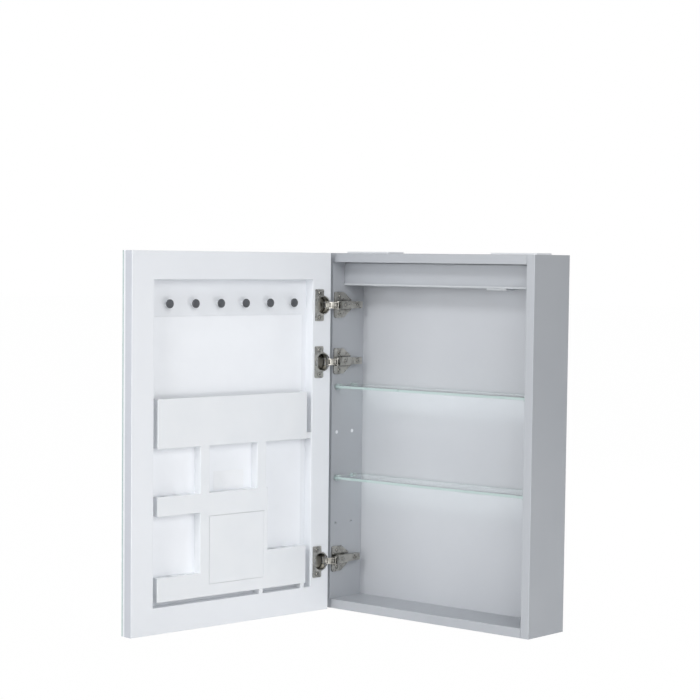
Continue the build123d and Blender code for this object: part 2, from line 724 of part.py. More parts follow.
def wide_pocket():
    """Deep open pocket across the organiser."""
    pocket = tray(ORG_S0, ORG_S1, POCKET_Z, POCKET_Z + POCKET_FRONT_H, False)
    return pocket + on_door(RECESS_S0 + SEAT_CLEAR, ORG_S0, ORG_WALL, 2 * ORG_WALL, POCKET_Z, POCKET_Z + LEDGE_H)


def small_pocket():
    """Low pocket with three holes on its free side."""
    s0 = POST_OUTER_S + POST_W
    return holed_tray(SMALL_S, ORG_S1, SMALL_Z, SMALL_Z + SMALL_H,
                      hole_line(s0, ORG_S1, SMALL_HOLES, HOLE_EDGE))


def corner_pocket():
    """Pocket in the lower free corner."""
    s0 = POST_OUTER_S + POST_W
    return holed_tray(s0, ORG_S1, ORG_Z0, CORNER_TOP,
                      hole_line(s0, ORG_S1, CORNER_HOLES, PAIR_EDGE))


def column_pocket():
    """Pocket at the foot of the open column on the hinge side."""
    return holed_tray(ORG_S0, COLUMN_S, ORG_Z0, COLUMN_TOP,
                      hole_line(ORG_S0, COLUMN_S, COLUMN_HOLES, HOLE_EDGE))


def posts():
    """Flat posts between the pockets."""
    small_top = SMALL_Z + SMALL_H
    upper = [on_door(s, s + POST_W, 0, ORG_FLOOR, small_top, POCKET_Z)
             for s in (POST_INNER_S, POST_OUTER_S)]
    lower = on_door(POST_OUTER_S + SEAT_CLEAR, POST_OUTER_S + POST_W, 0, ORG_FLOOR, ORG_Z0, SMALL_Z)
    return upper + [lower]


def centre_housing():
    """Closed bay with a shallow seat for the square cover."""
    housing = on_door(COLUMN_S, POST_OUTER_S + SEAT_CLEAR, 0, ORG_FLOOR, ORG_Z0, SMALL_Z)
    return housing - on_door(COVER_S - COVER_GAP, COVER_S + COVER_W + COVER_GAP, 0, ORG_WALL,
                             COVER_Z - COVER_GAP, COVER_Z + COVER_TALL + COVER_GAP)


def access_cover():
    """Square cover on the bay."""
    cover = on_door(COVER_S, COVER_S + COVER_W, 0, ORG_WALL, COVER_Z, COVER_Z + COVER_TALL)
    return fillet(cover.edges().group_by(Axis.Y)[-1], COVER_EASE)


def label_plate():
    """Bare label plate on the organiser sheet."""
    return on_door(LABEL_S, LABEL_S + LABEL_W, ORG_FLOOR - LABEL_T, ORG_FLOOR, LABEL_Z, LABEL_Z + LABEL_H)


def case_parts():
    """Everything that stays on the wall."""
    centres = bracket_centres()
    parts = {
        "side_panel_left": side_panel_left(),
        "side_panel_right": side_panel(INNER_X1, 1),
        "top_panel": level_panel(INNER_TOP, False),
        "bottom_panel": level_panel(0, True),
        "back_panel": back_panel(),
        "hanging_rail": hanging_rail(),
        "hanging_bracket_left": hanging_bracket(centres["left"]),
        "hanging_bracket_right": hanging_bracket(centres["right"]),
        "bracket_screws": bracket_screws(),
        "light_fascia": light_fascia(),
        "fascia_trim": fascia_trim(),
        "lamp_tray": lamp_tray(),
        "led_strip": led_strip(),
        "driver_box": hung_unit(INNER_X1 - DRIVER_IN, DRIVER_W, DRIVER_H),
        "lead_connector": hung_unit(INNER_X1 - PLUG_IN, PLUG_W, PLUG_H),
        "lead_clip": hung_unit(INNER_X0 + CLIP_IN, CLIP_W, CLIP_H),
        "top_cover_left": top_cover(COVER_INSET),
        "top_cover_right": top_cover(CASE_W - COVER_INSET - COVER_L),
        "arm_pins": arm_pins(),
        "arm_screws": arm_screws(),
        "plate_screws": plate_screws(),
        "hole_sleeves": hole_sleeves(),
    }
    for name, row in (("lower", LOWER_SHELF_ROW), ("upper", UPPER_SHELF_ROW)):
        parts["glass_shelf_" + name] = glass_shelf(row)
        parts["shelf_clips_" + name] = shelf_clips(row)
    for name, z in HINGE_Z.items():
        parts["hinge_plate_" + name] = hinge_plate(z)
        parts["hinge_arm_" + name] = hinge_arm(z)
        parts["hinge_outer_link_" + name] = outer_link(z)
        parts["hinge_inner_link_" + name] = inner_link(z)
    return parts


def door_parts():
    """Everything that swings with the door, drawn flat in the door's own frame."""
    parts = {
        "door_stile_hinge": stile_hinge(),
        "door_stile_free": stile_free(),
        "door_rail_top": door_rail(RECESS_Z1, CASE_H),
        "door_rail_bottom": door_rail(0, RECESS_Z0),
        "door_back_board": door_sheet(FRAME_T, DOOR_BOARD_T),
        "mirror_glass": door_sheet(FRAME_T + DOOR_BOARD_T, MIRROR_T),
        "peg_stems": peg_stems(),
        "peg_caps": peg_caps(),
        "organiser_panel": organiser_panel(),
        "wide_pocket": wide_pocket(),
        "small_pocket": small_pocket(),
        "corner_pocket": corner_pocket(),
        "column_pocket": column_pocket(),
        "organiser_posts": posts(),
        "centre_housing": centre_housing(),
        "access_cover": access_cover(),
        "label_plate": label_plate(),
        "cup_pins": cup_pins(),
        "cup_screws": cup_screws(),
    }
    for name, z in HINGE_Z.items():
        parts["hinge_cup_" + name] = hinge_cup(z)
    return parts


def write(name, shape, place):
    """Put a piece, or a group of like pieces, in its place and write it."""
    if isinstance(shape, list):
        shape = Compound(children=[place * one for one in shape])
    else:
        shape = place * shape
    export_step(shape, os.path.join("parts", name + ".step"))


os.makedirs("parts", exist_ok=True)
for part_name, part_shape in case_parts().items():
    write(part_name, part_shape, CASE_PLACE)
for part_name, part_shape in door_parts().items():
    write(part_name, part_shape, CASE_PLACE * DOOR_PLACE)
print("door edge at rest", [round(v, 3) for v in PINS["edge"]])
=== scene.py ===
import math

import bmesh
import bpy
from mathutils import Matrix, Vector


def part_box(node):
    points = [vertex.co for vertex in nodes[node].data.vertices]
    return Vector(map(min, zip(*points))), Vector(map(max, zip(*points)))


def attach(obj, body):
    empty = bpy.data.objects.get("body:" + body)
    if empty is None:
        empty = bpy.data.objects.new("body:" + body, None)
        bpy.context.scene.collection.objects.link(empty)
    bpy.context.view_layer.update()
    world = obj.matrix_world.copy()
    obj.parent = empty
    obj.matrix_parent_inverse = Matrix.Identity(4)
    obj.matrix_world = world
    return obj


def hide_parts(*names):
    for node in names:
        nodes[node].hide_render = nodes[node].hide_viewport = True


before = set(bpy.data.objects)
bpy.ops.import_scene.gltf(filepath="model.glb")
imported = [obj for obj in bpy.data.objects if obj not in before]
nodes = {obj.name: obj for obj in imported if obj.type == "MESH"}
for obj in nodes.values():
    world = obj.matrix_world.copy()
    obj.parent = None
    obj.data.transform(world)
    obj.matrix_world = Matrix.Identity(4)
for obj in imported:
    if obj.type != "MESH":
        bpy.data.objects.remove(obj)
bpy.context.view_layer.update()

# Side boards of the case.
# Two upright fibreboards, 18 mm thick, sprayed a cool light grey on every face; the outer face is drawn
# in a darker grey, which is painted shade.
# The arrises are rubbed over before spraying, and the shelf holes are drilled last.
MM = 0.001
WELD = 0.002 * MM
FLAT_WITHIN = math.radians(0.6)
SHARP_FROM = math.radians(38)
CASE_GREY = (0.425, 0.444, 0.473)
CASE_GREY_DEEP = (0.406, 0.425, 0.456)
# The darker grey of the outer faces is painted shade: the boards carry one paint all over.
OUTER_SHADED_GREY = (0.341, 0.357, 0.382)
OUTER_SHADED_GREY_DEEP = (0.324, 0.341, 0.367)
BOARD_ARRIS = 0.9 * MM
LEAST_ARRIS = 3 * MM
CLOUD_DETAIL = 5.0
CLOUD_LOW = 0.3
CLOUD_HIGH = 0.7
DEEP_BELOW = 0.36
FULL_ABOVE = 0.64
SKIN_DETAIL = 3.0
SKIN_DEPTH = 0.2 * MM


def finish(name, colour, shade, cloud, gloss, grain, relief, metallic=0.0):
    """A surface whose colour and gloss drift slowly, with a fine skin over it.

    Cloud and grain are scales of noise, gloss is a range of roughness, and relief is the skin's strength.
    """
    material = bpy.data.materials.new(name)
    material.use_nodes = True
    tree = material.node_tree
    shader = tree.nodes["Principled BSDF"]
    shader.inputs["Metallic"].default_value = metallic
    place = tree.nodes.new("ShaderNodeTexCoord")
    clouds = tree.nodes.new("ShaderNodeTexNoise")
    clouds.inputs["Scale"].default_value = cloud
    clouds.inputs["Detail"].default_value = CLOUD_DETAIL
    tones = tree.nodes.new("ShaderNodeValToRGB")
    tones.color_ramp.elements[0].position = DEEP_BELOW
    tones.color_ramp.elements[0].color = (*shade, 1.0)
    tones.color_ramp.elements[1].position = FULL_ABOVE
    tones.color_ramp.elements[1].color = (*colour, 1.0)
    sheen = tree.nodes.new("ShaderNodeMapRange")
    sheen.inputs["From Min"].default_value = CLOUD_LOW
    sheen.inputs["From Max"].default_value = CLOUD_HIGH
    sheen.inputs["To Min"].default_value = gloss[0]
    sheen.inputs["To Max"].default_value = gloss[1]
    skin = tree.nodes.new("ShaderNodeTexNoise")
    skin.inputs["Scale"].default_value = grain
    skin.inputs["Detail"].default_value = SKIN_DETAIL
    bump = tree.nodes.new("ShaderNodeBump")
    bump.inputs["Strength"].default_value = relief
    bump.inputs["Distance"].default_value = SKIN_DEPTH
    link = tree.links.new
    link(place.outputs["Object"], clouds.inputs["Vector"])
    link(place.outputs["Object"], skin.inputs["Vector"])
    link(clouds.outputs["Fac"], tones.inputs["Fac"])
    link(clouds.outputs["Fac"], sheen.inputs["Value"])
    link(tones.outputs["Color"], shader.inputs["Base Color"])
    link(sheen.outputs["Result"], shader.inputs["Roughness"])
    link(skin.outputs["Fac"], bump.inputs["Height"])
    link(bump.outputs["Normal"], shader.inputs["Normal"])
    return material


def ease(shape, width, least, steps=2, chosen=lambda edge: True):
    """Round the chosen arrises of a mesh that are at least so long."""
    arrises = [edge for edge in shape.edges if edge.is_manifold and chosen(edge)
               and edge.calc_face_angle() > SHARP_FROM and edge.calc_length() >= least]
    bmesh.ops.bevel(shape, geom=arrises, offset=width, offset_type="OFFSET", segments=steps,
                    profile=0.5, affect="EDGES", clamp_overlap=True, material=-1)


def piece_from(shape, name):
    """Make a finished mesh a piece at the origin, smooth but for its true edges."""
    mesh = bpy.data.meshes.new(name)
    shape.to_mesh(mesh)
    shape.free()
    mesh.shade_smooth()
    mesh.set_sharp_from_angle(angle=SHARP_FROM)
    piece = bpy.data.objects.new(name, mesh)
    bpy.context.scene.collection.objects.link(piece)
    level = piece.modifiers.new("even_faces", "WEIGHTED_NORMAL")
    level.keep_sharp = True
    return piece


def merged_copy(node):
    """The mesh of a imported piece, with its triangles merged into flat faces."""
    shape = bmesh.new()
    shape.from_mesh(nodes[node].data)
    bmesh.ops.remove_doubles(shape, verts=shape.verts[:], dist=WELD)
    bmesh.ops.dissolve_limit(shape, angle_limit=FLAT_WITHIN, verts=shape.verts[:], edges=shape.edges[:])
    return shape


def eased_copy(name, node, width, least=LEAST_ARRIS):
    """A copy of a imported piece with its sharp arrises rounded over."""
    shape = merged_copy(node)
    ease(shape, width, least)
    return piece_from(shape, name)


def fit(piece, material, body, slot, *stands_for):
    """Give a piece its finish and fix it to the body that carries it."""
    piece.data.materials.append(material)
    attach(piece, body)
    if stands_for:
        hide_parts(*stands_for)


def dress(node, material):
    """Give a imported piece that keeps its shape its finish."""
    nodes[node].data.materials.clear()
    nodes[node].data.materials.append(material)


outer_painted_shade = finish("case_outer_painted_shade", OUTER_SHADED_GREY, OUTER_SHADED_GREY_DEEP, cloud=5.0, gloss=(0.38,
                       0.46), grain=700.0, relief=0.05)
case_lacquer = finish("case_lacquer", CASE_GREY, CASE_GREY_DEEP, cloud=5.0, gloss=(0.34, 0.42),
                      grain=700.0, relief=0.05)
for side in ("left", "right"):
    board = eased_copy("case_side_" + side, "side_panel_" + side, BOARD_ARRIS)
    fit(board, case_lacquer, "case", "case_board", "side_panel_" + side)
    # The outer face takes the darker grey: painted shade over the same paint.
    board.data.materials.append(outer_painted_shade)
    low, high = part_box("side_panel_" + side)
    outer_x = low.x if side == "left" else high.x
    for face in board.data.polygons:
        face.material_index = 1 if abs(face.center.x - outer_x) < WELD else 0

# Top and bottom boards of the case.
# The same grey board, dowelled between the sides and flush with their front edges.
for level in ("top", "bottom"):
    board = eased_copy("case_" + level, level + "_panel", BOARD_ARRIS / 3)
    fit(board, case_lacquer, "case", "case_board", level + "_panel")

# Back panel and hanging rail.
# The back is a thin sheet with a paler foil face, slid into grooves in all four boards.
# The rail behind it is plain primed board that the wall plates are screwed to.
BACK_GREY = (0.51, 0.527, 0.557)
BACK_GREY_DEEP = (0.489, 0.508, 0.54)
PRIMER = (0.66, 0.65, 0.62)
PRIMER_DEEP = (0.56, 0.545, 0.51)
back_foil = finish("back_foil", BACK_GREY, BACK_GREY_DEEP, cloud=3.5, gloss=(0.45, 0.55), grain=450.0,
                   relief=0.06)
dress("back_panel", back_foil)
primer = finish("primed_board", PRIMER, PRIMER_DEEP, cloud=40.0, gloss=(0.6, 0.8), grain=900.0,
                relief=0.3)
rail = eased_copy("wall_rail", "hanging_rail", BOARD_ARRIS / 2)
fit(rail, primer, "case", "case_board", "hanging_rail")

# Wall plates and their screws.
# Pressed plates of zinc-plated steel with a level slot each, held by four crosshead screws.
ZINC = (0.60, 0.61, 0.63)
ZINC_DULL = (0.47, 0.48, 0.50)
PLATE_ARRIS = 0.3 * MM
PLATE_LEAST = 2 * MM
zinc = finish("zinc_plate", ZINC, ZINC_DULL, cloud=55.0, gloss=(0.28, 0.46), grain=1500.0,
              relief=0.10, metallic=1.0)
for side in ("left", "right"):
    bracket = eased_copy("wall_plate_" + side, "hanging_bracket_" + side, PLATE_ARRIS, PLATE_LEAST)
    fit(bracket, zinc, "case", "zinc_steel", "hanging_bracket_" + side)


def solids_of(node, square_on=Matrix()):
    """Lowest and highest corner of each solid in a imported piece, seen after a turn."""
    shape = bmesh.new()
    shape.from_mesh(nodes[node].data)
    bmesh.ops.remove_doubles(shape, verts=shape.verts[:], dist=WELD)
    shape.transform(square_on)
    left = set(shape.verts)
    spans = []
    while left:
        reached = [left.pop()]
        found = []
        while reached:
            vert = reached.pop()
            found.append(vert.co.copy())
            beside = [edge.other_vert(vert) for edge in vert.link_edges]
            reached += [other for other in beside if other in left]
            left -= set(beside)
        spans.append((Vector(map(min, zip(*found))), Vector(map(max, zip(*found)))))
    shape.free()
    return sorted(spans, key=lambda span: tuple(span[0]))


def turned(points, steps=24):
    """A round part about Z, from a few points given as radius and height."""
    shape = bmesh.new()
    verts = [shape.verts.new((radius, 0, height)) for radius, height in points]
    edges = [shape.edges.new(pair) for pair in zip(verts, verts[1:])]
    bmesh.ops.spin(shape, geom=verts + edges, cent=(0, 0, 0), axis=(0, 0, 1), dvec=(0, 0, 0),
                   angle=math.tau, steps=steps, use_merge=True)
    bmesh.ops.remove_doubles(shape, verts=shape.verts[:], dist=WELD)
    bmesh.ops.recalc_face_normals(shape, faces=shape.faces[:])
    return shape


def draw_out(shape, faces, way):
    """Extrude some faces together, with walls round them; the first faces stay where they were."""
    grown = bmesh.ops.extrude_face_region(shape, geom=faces)["geom"]
    moved = [part for part in grown if isinstance(part, bmesh.types.BMVert)]
    bmesh.ops.translate(shape, vec=way, verts=moved)


def sink(shape, faces, way):
    """Press some faces of a closed mesh in, with walls round them."""
    draw_out(shape, faces, way)
    bmesh.ops.delete(shape, geom=faces, context="FACES")
    bmesh.ops.recalc_face_normals(shape, faces=shape.faces[:])


def with_rims(faces):
    """Some faces with their edges and corners, in an order that is the same each run."""
    rims = [edge for face in faces for edge in face.edges]
    corners = [vert for face in faces for vert in face.verts]
    return faces + list(dict.fromkeys(rims)) + list(dict.fromkeys(corners))


HEAD_PROFILE = ((1.0, 0.0), (1.0, 0.4), (0.92, 0.8), (0.78, 1.0))
SLOT_REACH = 0.8
SLOT_HALF = 0.2
SLOT_DEPTH = 0.6


def crosshead(head_r, head_h, shank_r, length):
    """A screw that points up Z, with a crossed slot in its head. A head of no height is flush."""
    points = [(0, -length), (shank_r, -length), (shank_r, 0)]
    if head_h:
        points += [(across * head_r, up * head_h) for across, up in HEAD_PROFILE]
    shape = turned(points)
    bmesh.ops.edgeloop_fill(shape, edges=[edge for edge in shape.edges if edge.is_boundary])
    top, cap_r = points[-1][1], points[-1][0]
    arm, half = SLOT_REACH * cap_r, SLOT_HALF * cap_r
    for across in (Vector((1, 0, 0)), Vector((0, 1, 0))):
        for at in (-arm, -half, half, arm):
            cap = [face for face in shape.faces if abs(face.calc_center_median().z - top) < WELD]
            bmesh.ops.bisect_plane(shape, geom=with_rims(cap), plane_co=across * at, plane_no=across)
    slot = []
    for face in shape.faces:
        middle = face.calc_center_median()
        near, far = sorted((abs(middle.x), abs(middle.y)))
        if abs(middle.z - top) < WELD and near < half and far < arm:
            slot.append(face)
    sink(shape, slot, (0, 0, -SLOT_DEPTH * (head_h or cap_r / 2)))
    return shape


def repeated(once, places):
    """One mesh with a copy of a shape at each place."""
    pattern = bpy.data.meshes.new("pattern")
    once.to_mesh(pattern)
    once.free()
    together = bmesh.new()
    for place in places:
        copy = pattern.copy()
        copy.transform(place)
        together.from_mesh(copy)
        bpy.data.meshes.remove(copy)
    bpy.data.meshes.remove(pattern)
    return together


def join_to(shape, extra):
    """Add a second shape to a mesh that is being built."""
    passing = bpy.data.meshes.new("passing")
    extra.to_mesh(passing)
    extra.free()
    shape.from_mesh(passing)
    bpy.data.meshes.remove(passing)


FACE_BACK = Matrix.Rotation(-math.pi / 2, 4, "X")
FLUSH_SCREW_R = 1.7 * MM
spans = solids_of("bracket_screws")
places = [Matrix.Translation(((low.x + high.x) / 2, high.y, (low.z + high.z) / 2)) @ FACE_BACK
          for low, high in spans]
length = spans[0][1].y - spans[0][0].y
screws = piece_from(repeated(crosshead(0, 0, FLUSH_SCREW_R, length), places), "wall_plate_screws")
fit(screws, zinc, "case", "zinc_steel", "bracket_screws")

# Light unit under the top.
# A grey front rail, a pale diffuser lip below it, and an aluminium channel with a lamp strip behind.
OPAL = (0.52, 0.54, 0.565)
OPAL_DEEP = (0.50, 0.52, 0.545)
SHADOW_GAP = 1.4 * MM
SHADOW_GAP_DEPTH = 6 * MM
ALUMINIUM = (0.70, 0.71, 0.72)
ALUMINIUM_DULL = (0.60, 0.61, 0.63)
LIP_ARRIS = 0.5 * MM
CHANNEL_ARRIS = 0.2 * MM


def block(low, high):
    """A box from its lowest corner to its highest corner."""
    shape = bmesh.new()
    bmesh.ops.create_cube(shape, size=1.0)
    bmesh.ops.scale(shape, vec=high - low, verts=shape.verts)
    bmesh.ops.translate(shape, vec=(low + high) / 2, verts=shape.verts)
    return shape


low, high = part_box("light_fascia")
shape = block(low, high - Vector((0, 0, SHADOW_GAP)))
ease(shape, BOARD_ARRIS / 2, LEAST_ARRIS)
join_to(shape, block(Vector((low.x, low.y + SHADOW_GAP_DEPTH, high.z - SHADOW_GAP)), high))
fascia = piece_from(shape, "light_rail")
fit(fascia, case_lacquer, "case", "case_board", "light_fascia")
opal = finish("opal_lip", OPAL, OPAL_DEEP, cloud=12.0, gloss=(0.3, 0.4), grain=600.0, relief=0.04)
trim = eased_copy("light_lip", "fascia_trim", LIP_ARRIS)
fit(trim, opal, "case", "opal_plastic", "fascia_trim")
aluminium = finish("drawn_aluminium", ALUMINIUM, ALUMINIUM_DULL, cloud=30.0, gloss=(0.3, 0.45),
                   grain=1200.0, relief=0.10, metallic=1.0)
channel = eased_copy("lamp_channel", "lamp_tray", CHANNEL_ARRIS)
fit(channel, aluminium, "case", "aluminium", "lamp_tray")
LAMP_PITCH = 12 * MM
LAMP_SIDE = 3.4 * MM
LAMP_PROUD = 0.7 * MM
LAMP_BOARD = (0.80, 0.80, 0.78)
LAMP_BOARD_DEEP = (0.76, 0.76, 0.74)
LAMP_GEL = (0.80, 0.72, 0.38)
LAMP_GEL_DEEP = (0.76, 0.66, 0.30)
low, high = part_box("led_strip")
count = int((high.x - low.x) / LAMP_PITCH)
first = (low.x + high.x - (count - 1) * LAMP_PITCH) / 2
half = Vector((LAMP_SIDE, LAMP_SIDE, LAMP_PROUD)) / 2
lamp = block(-half, half)
ease(lamp, LAMP_PROUD / 3, least=0, steps=1)
places = [Matrix.Translation((first + i * LAMP_PITCH, (low.y + high.y) / 2, low.z)) for i in range(count)]
strip_shape = repeated(lamp, places)
for face in strip_shape.faces:
    face.material_index = 1
join_to(strip_shape, block(low, high))
strip = piece_from(strip_shape, "lamp_strip")
lamp_board = finish("lamp_board", LAMP_BOARD, LAMP_BOARD_DEEP, cloud=90.0, gloss=(0.4, 0.5),
                    grain=900.0, relief=0.1)
lamp_gel = finish("lamp_gel", LAMP_GEL, LAMP_GEL_DEEP, cloud=200.0, gloss=(0.2, 0.3), grain=900.0,
                  relief=0.05)
fit(strip, lamp_board, "case", "lamp_strip", "led_strip")
strip.data.materials.append(lamp_gel)

# Driver, lead connector and lead clip.
# Small white plastic housings screwed under the top board behind the light unit.
PLASTIC = (0.81, 0.829, 0.853)
PLASTIC_DEEP = (0.785, 0.808, 0.836)
HOUSING_ARRIS = 0.4 * MM
white_plastic = finish("white_plastic", PLASTIC, PLASTIC_DEEP, cloud=14.0, gloss=(0.38, 0.48),
                       grain=1100.0, relief=0.08)
for node, name in (("driver_box", "light_driver"), ("lead_connector", "lead_coupler"),
                   ("lead_clip", "lead_holder")):
    unit = eased_copy(name, node, HOUSING_ARRIS)
    fit(unit, white_plastic, "case", "white_plastic", node)

# Covers on top of the case.
# Two thin white moulded plates that lie flat on the top board.
COVER_ARRIS = 0.6 * MM
for side in ("left", "right"):
    cover = eased_copy("top_plate_" + side, "top_cover_" + side, COVER_ARRIS)
    fit(cover, white_plastic, "case", "white_plastic", "top_cover_" + side)

# Sleeves in the shelf holes.
# Moulded sleeves that line the free shelf holes: the lower row open and grey, the upper capped and white.
SLEEVE_ARRIS = 0.15 * MM
SLEEVE_LEAST = 0.4 * MM
sleeves = eased_copy("shelf_sleeves", "hole_sleeves", SLEEVE_ARRIS, SLEEVE_LEAST)
fit(sleeves, white_plastic, "case", "white_plastic", "hole_sleeves")
sleeves.data.materials.append(case_lacquer)
low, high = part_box("hole_sleeves")
for face in sleeves.data.polygons:
    face.material_index = 1 if face.center.z < (low.z + high.z) / 2 else 0

# Shelf clips.
# Clear moulded clips: a spigot in the side board and a jaw that grips the glass.
CLIP_CLEAR = (0.70, 0.79, 0.79)
CLIP_CLEAR_DEEP = (0.62, 0.72, 0.72)
CLIP_SEE_THROUGH = 0.35
CLIP_IOR = 1.49
CLIP_ARRIS = 0.3 * MM
CLIP_LEAST = 2 * MM
clip_plastic = finish("clear_clip", CLIP_CLEAR, CLIP_CLEAR_DEEP, cloud=60.0, gloss=(0.12, 0.2),
                      grain=900.0, relief=0.05)
clip_shader = clip_plastic.node_tree.nodes["Principled BSDF"]
clip_shader.inputs["Transmission Weight"].default_value = CLIP_SEE_THROUGH
clip_shader.inputs["IOR"].default_value = CLIP_IOR
for level in ("lower", "upper"):
    clips = eased_copy("glass_clips_" + level, "shelf_clips_" + level, CLIP_ARRIS, CLIP_LEAST)
    fit(clips, clip_plastic, "case", "clear_plastic", "shelf_clips_" + level)

# Glass shelves.
# Clear float glass, 5 mm thick, with ground edges that show pale green.
GLASS_ARRIS = 0.5 * MM
GLASS_CLEAR = (0.95, 0.985, 0.975)
GLASS_CLEAR_DEEP = (0.94, 0.98, 0.97)
GLASS_IOR = 1.52
GLASS_SHADOW = (0.96, 0.98, 0.975)
GROUND_GREEN = (0.45, 0.55, 0.54)
GROUND_GREEN_DEEP = (0.42, 0.525, 0.515)
SQUARELY = 0.9


def lets_lamps_through(material, tint):
    """Clear glass does not block the light of the room, so shadow rays pass with a tint."""
    tree = material.node_tree
    shader = tree.nodes["Principled BSDF"]
    output = tree.nodes["Material Output"]
    rays = tree.nodes.new("ShaderNodeLightPath")
    clear = tree.nodes.new("ShaderNodeBsdfTransparent")
    clear.inputs["Color"].default_value = (*tint, 1.0)
    mix = tree.nodes.new("ShaderNodeMixShader")
    tree.links.new(rays.outputs["Is Shadow Ray"], mix.inputs["Fac"])
    tree.links.new(shader.outputs["BSDF"], mix.inputs[1])
    tree.links.new(clear.outputs["BSDF"], mix.inputs[2])
    tree.links.new(mix.outputs["Shader"], output.inputs["Surface"])


float_glass = finish("float_glass", GLASS_CLEAR, GLASS_CLEAR_DEEP, cloud=8.0, gloss=(0.0, 0.01),
                     grain=20.0, relief=0.0)
glass_shader = float_glass.node_tree.nodes["Principled BSDF"]
glass_shader.inputs["Transmission Weight"].default_value = 1.0
glass_shader.inputs["IOR"].default_value = GLASS_IOR
lets_lamps_through(float_glass, GLASS_SHADOW)
ground_edge = finish("ground_glass_edge", GROUND_GREEN, GROUND_GREEN_DEEP, cloud=25.0, gloss=(0.25,
                     0.35), grain=900.0, relief=0.05)
for level in ("lower", "upper"):
    node = "glass_shelf_" + level
    shape = block(*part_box(node))
    ease(shape, GLASS_ARRIS, least=0)
    for face in shape.faces:
        face.material_index = 0 if abs(face.normal.z) > SQUARELY else 1
    shelf = piece_from(shape, "shelf_glass_" + level)
    fit(shelf, float_glass, "case", "shelf_glass", node)
    shelf.data.materials.append(ground_edge)

# Hinge plates, arms and links.
# Stamped steel, nickel-plated after forming: bright flats and rounded shear edges; the colour is darkened
# in creases and hollows, which is painted shade.
NICKEL = (0.558, 0.544, 0.502)
NICKEL_DULL = (0.391, 0.381, 0.349)
nickel = finish("nickel_plate", NICKEL, NICKEL_DULL, cloud=70.0, gloss=(0.2, 0.38), grain=1800.0,
                relief=0.15, metallic=1.0)
PAINTED_SHADE_REACH = 5 * MM
PAINTED_SHADE_POWER = 2.2
tree = nickel.node_tree
# Ambient occlusion darkens the base colour where parts crowd close: painted shade in creases and hollows.
painted_crease_shade = tree.nodes.new("ShaderNodeAmbientOcclusion")
painted_crease_shade.inputs["Distance"].default_value = PAINTED_SHADE_REACH
depth = tree.nodes.new("ShaderNodeMath")
depth.operation = "POWER"
depth.inputs[1].default_value = PAINTED_SHADE_POWER
shade_darkened = tree.nodes.new("ShaderNodeMixRGB")
shade_darkened.blend_type = "MULTIPLY"
shade_darkened.inputs["Fac"].default_value = 1.0
tree.links.new(painted_crease_shade.outputs["AO"], depth.inputs[0])
tree.links.new(tree.nodes["Color Ramp"].outputs["Color"], shade_darkened.inputs["Color1"])
tree.links.new(depth.outputs["Value"], shade_darkened.inputs["Color2"])
tree.links.new(shade_darkened.outputs["Color"], tree.nodes["Principled BSDF"].inputs["Base Color"])
SHEAR_EDGE = 0.22 * MM
SHEAR_LEAST = 1.2 * MM
RIVET_LEAST = 0.1 * MM
WING_T = 1.9 * MM
# Corners of a wing's web in mm: how far behind the front of the side board, and how far from mid-plate.
WING_OUTLINE = ((18, 25), (30, 25), (35, 22.5), (53, 10), (53, 8), (36, 8))
for level in ("top", "middle", "bottom"):
    node = "hinge_plate_" + level
    low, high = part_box(node)
    middle_z = (low.z + high.z) / 2
    front_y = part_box("side_panel_left")[0].y
    plate = merged_copy(node)
    for side in (-1, 1):
        web = bmesh.new()
        corners = [web.verts.new((low.x, front_y + behind * MM, middle_z + side * out * MM))
                   for behind, out in WING_OUTLINE]
        sheet = web.faces.new(corners)
        draw_out(web, [sheet], (WING_T, 0, 0))
        bmesh.ops.recalc_face_normals(web, faces=web.faces[:])
        join_to(plate, web)
    ease(plate, SHEAR_EDGE, SHEAR_LEAST)
    stamped = piece_from(plate, "nickel_plate_" + level)
    fit(stamped, nickel, "case", "nickel_steel", node)
for level in ("top", "middle", "bottom"):
    for part, body in (("arm", "case"), ("outer_link", "outer_links"), ("inner_link", "inner_links")):
        node = "hinge_" + part + "_" + level
        stamped = eased_copy("nickel_" + part + "_" + level, node, SHEAR_EDGE, SHEAR_LEAST)
        fit(stamped, nickel, body, "nickel_steel", node)
rivets = eased_copy("arm_rivets", "arm_pins", SHEAR_EDGE, RIVET_LEAST)
fit(rivets, nickel, "case", "nickel_steel", "arm_pins")

# Screws of the hinge arms and plates.
# Pan-head screws with a crossed slot, nickel-plated like the hinge they hold.
HEAD_R = 3.5 * MM
HEAD_H = 1.4 * MM
SHANK_R = 1.7 * MM
FACE_RIGHT = Matrix.Rotation(math.pi / 2, 4, "Y")
for node in ("plate_screws", "arm_screws"):
    spans = solids_of(node)
    places = [Matrix.Translation((high.x - HEAD_H, (low.y + high.y) / 2, (low.z + high.z) / 2))
              @ FACE_RIGHT for low, high in spans]
    length = spans[0][1].x - spans[0][0].x - HEAD_H
    screws = piece_from(repeated(crosshead(HEAD_R, HEAD_H, SHANK_R, length), places), "nickel_" + node)
    fit(screws, nickel, "case", "nickel_steel", node)

# Door frame.
# Four white members joined flat and sprayed over as one, so no joint shows on the inner face.
# The hinge side is bored from inside for the three cups.
OPEN_ANGLE = math.radians(95.8)
DOOR_TURN = Matrix.Rotation(-OPEN_ANGLE, 4, "Z")
SQUARE_ON = DOOR_TURN.inverted()
CUP_RIM_R = 18.5 * MM
CUP_BORE_R = 17.5 * MM
CUP_BORE_DEPTH = 13.2 * MM
CUP_SCORE_ROOM = 400 * MM
FRAME_ARRIS = 1.0 * MM
FRAME_LEAST = 4 * MM
DOOR_WHITE = (0.813, 0.833, 0.867)
DOOR_WHITE_DEEP = (0.793, 0.816, 0.851)
# The darker grey of the frame's outer edges is painted shade over the same white lacquer.
DOOR_RIM_SHADE = (0.567, 0.588, 0.64)
DOOR_RIM_SHADE_DEEP = (0.546, 0.567, 0.619)


def door_span(*names):
    """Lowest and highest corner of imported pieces, seen square to the door."""
    corners = [corner for name in names for span in solids_of(name, SQUARE_ON) for corner in span]
    return Vector(map(min, zip(*corners))), Vector(map(max, zip(*corners)))


